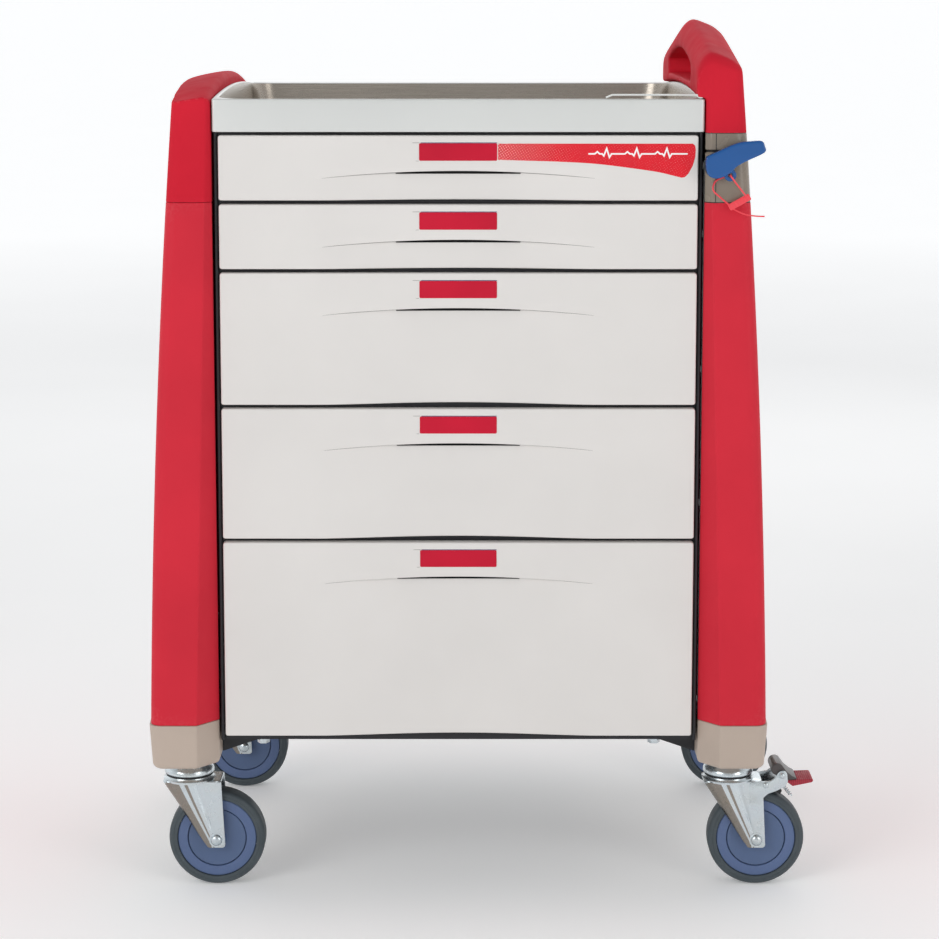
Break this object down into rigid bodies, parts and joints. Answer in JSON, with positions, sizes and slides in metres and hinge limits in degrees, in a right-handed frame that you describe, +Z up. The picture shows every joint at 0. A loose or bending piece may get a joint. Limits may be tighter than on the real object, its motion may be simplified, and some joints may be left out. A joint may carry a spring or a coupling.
{
  "type": "crash cart",
  "caption": "Hospital crash cart: a drawer cabinet on swivel casters between moulded side panels, with a push handle, a recessed worktop and a sealed lock lever.",
  "frame": {"origin": "on the floor, at the centre of the footprint including the brake pedal on the right", "axes": "+Z up, -Y the way the drawers open, +X towards the end with the push handle"},
  "size_m": [0.857, 0.6159, 1.1147],
  "materials": {
    "panel_red": "satin moulded plastic",
    "cap_red": "satin moulded plastic",
    "bumper_beige": "fine-grained moulded plastic",
    "band_taupe": "satin moulded plastic",
    "bezel_black": "semi-gloss powder coat",
    "cabinet_white": "satin powder coat",
    "drawer_white": "satin moulded plastic",
    "tray_grey": "satin moulded plastic",
    "worktop_silver": "fine satin",
    "runner_zinc": "zinc plated",
    "caster_zinc": "bright zinc plated",
    "lever_blue": "satin-gloss moulded plastic",
    "seal_coral": "moulded plastic",
    "label_red": "grained insert",
    "pedal_red": "ribbed soft plastic",
    "tyre_grey": "non-marking rubber",
    "hub_blue": "satin moulded plastic",
    "shoe_black": "moulded rubber"
  },
  "bodies": {
    "cabinet": {"base_frame": "bezel_black", "cabinet_left_wall": "cabinet_white", "cabinet_right_wall": "cabinet_white", "cabinet_back_wall": "cabinet_white", "cabinet_top_deck": "cabinet_white", "front_bezel": "bezel_black", "worktop_tray": "worktop_silver", "worktop_ledge": "worktop_silver", "left_side_panel": "panel_red", "left_top_cap": "cap_red", "right_side_panel": "panel_red", "lock_band": "band_taupe", "handle_housing": "cap_red", "left_bumper": "bumper_beige", "right_bumper": "bumper_beige", "left_runner_rack": "runner_zinc", "right_runner_rack": "runner_zinc", "front_left_head": "caster_zinc", "front_right_head": "caster_zinc", "rear_left_head": "caster_zinc", "rear_right_head": "caster_zinc"},
    "drawer_1": {"drawer_1_tray": "tray_grey", "drawer_1_front": "drawer_white", "drawer_1_label": "label_red"},
    "drawer_2": {"drawer_2_tray": "tray_grey", "drawer_2_front": "drawer_white", "drawer_2_label": "label_red"},
    "drawer_3": {"drawer_3_tray": "tray_grey", "drawer_3_front": "drawer_white", "drawer_3_label": "label_red"},
    "drawer_4": {"drawer_4_tray": "tray_grey", "drawer_4_front": "drawer_white", "drawer_4_label": "label_red"},
    "drawer_5": {"drawer_5_tray": "tray_grey", "drawer_5_front": "drawer_white", "drawer_5_label": "label_red"},
    "front_left_caster": {"front_left_fork": "caster_zinc", "front_left_axle": "caster_zinc"},
    "front_left_wheel": {"front_left_hub": "hub_blue", "front_left_tyre": "tyre_grey"},
    "front_right_caster": {"front_right_fork": "caster_zinc", "front_right_axle": "caster_zinc"},
    "front_right_wheel": {"front_right_hub": "hub_blue", "front_right_tyre": "tyre_grey"},
    "rear_left_caster": {"rear_left_fork": "caster_zinc", "rear_left_axle": "caster_zinc"},
    "rear_left_wheel": {"rear_left_hub": "hub_blue", "rear_left_tyre": "tyre_grey"},
    "rear_right_caster": {"rear_right_fork": "caster_zinc", "rear_right_axle": "caster_zinc"},
    "rear_right_wheel": {"rear_right_hub": "hub_blue", "rear_right_tyre": "tyre_grey"},
    "brake_lever": {"brake_pedal": "caster_zinc", "brake_pad": "pedal_red"},
    "brake_block": {"brake_shoe": "shoe_black"},
    "lock_handle": {"lock_lever": "lever_blue", "lock_spindle": "caster_zinc"},
    "lock_slider": {"lock_bar": "runner_zinc"},
    "seal": {"seal_tag": "seal_coral"}
  },
  "joints": [
    {"name": "drawer_1_slide", "type": "slide", "parent": "cabinet", "child": "drawer_1", "axis": [0, -1, 0], "range_m": [0, 0.4]},
    {"name": "drawer_2_slide", "type": "slide", "parent": "cabinet", "child": "drawer_2", "axis": [0, -1, 0], "range_m": [0, 0.4]},
    {"name": "drawer_3_slide", "type": "slide", "parent": "cabinet", "child": "drawer_3", "axis": [0, -1, 0], "range_m": [0, 0.4]},
    {"name": "drawer_4_slide", "type": "slide", "parent": "cabinet", "child": "drawer_4", "axis": [0, -1, 0], "range_m": [0, 0.4]},
    {"name": "drawer_5_slide", "type": "slide", "parent": "cabinet", "child": "drawer_5", "axis": [0, -1, 0], "range_m": [0, 0.4]},
    {"name": "front_left_swivel", "type": "hinge", "parent": "cabinet", "child": "front_left_caster", "pos_m": [-0.3805, -0.21, 0.141], "axis": [0, 0, 1], "continuous": true},
    {"name": "front_left_roll", "type": "hinge", "parent": "front_left_caster", "child": "front_left_wheel", "pos_m": [-0.3445, -0.21, 0.0625], "axis": [0, 1, 0], "continuous": true},
    {"name": "front_right_swivel", "type": "hinge", "parent": "cabinet", "child": "front_right_caster", "pos_m": [0.3195, -0.21, 0.141], "axis": [0, 0, 1], "continuous": true},
    {"name": "front_right_roll", "type": "hinge", "parent": "front_right_caster", "child": "front_right_wheel", "pos_m": [0.3555, -0.21, 0.0625], "axis": [0, 1, 0], "continuous": true},
    {"name": "rear_left_swivel", "type": "hinge", "parent": "cabinet", "child": "rear_left_caster", "pos_m": [-0.3805, 0.21, 0.141], "axis": [0, 0, 1], "continuous": true},
    {"name": "rear_left_roll", "type": "hinge", "parent": "rear_left_caster", "child": "rear_left_wheel", "pos_m": [-0.3445, 0.21, 0.0625], "axis": [0, 1, 0], "continuous": true},
    {"name": "rear_right_swivel", "type": "hinge", "parent": "cabinet", "child": "rear_right_caster", "pos_m": [0.3195, 0.21, 0.141], "axis": [0, 0, 1], "continuous": true},
    {"name": "rear_right_roll", "type": "hinge", "parent": "rear_right_caster", "child": "rear_right_wheel", "pos_m": [0.3555, 0.21, 0.0625], "axis": [0, 1, 0], "continuous": true},
    {"name": "brake_pedal_press", "type": "hinge", "parent": "front_right_caster", "child": "brake_lever", "pos_m": [0.3875, -0.21, 0.1484], "axis": [0, 1, 0], "range_deg": [0, 14]},
    {"name": "brake_shoe_press", "type": "slide", "parent": "front_right_caster", "child": "brake_block", "axis": [0, 0, -1], "range_m": [0, 0.0016]},
    {"name": "lock_lever_turn", "type": "hinge", "parent": "cabinet", "child": "lock_handle", "pos_m": [0.2865, -0.3025, 0.938], "axis": [0, 1, 0], "range_deg": [0, 80]},
    {"name": "lock_bar_lift", "type": "slide", "parent": "cabinet", "child": "lock_slider", "axis": [0, 0, 1], "range_m": [0, 0.0141]},
    {"name": "seal_swing", "type": "hinge", "parent": "lock_handle", "child": "seal", "pos_m": [0.3025, -0.3025, 0.929], "axis": [0, 1, 0], "range_deg": [-80.5, 0.5]}
  ],
  "couplings": [
    {"joint": "brake_shoe_press", "follows": "brake_pedal_press", "m_per_rad": 0.006},
    {"joint": "lock_bar_lift", "follows": "lock_lever_turn", "m_per_rad": 0.01},
    {"joint": "seal_swing", "follows": "lock_lever_turn", "ratio": -1}
  ]
}
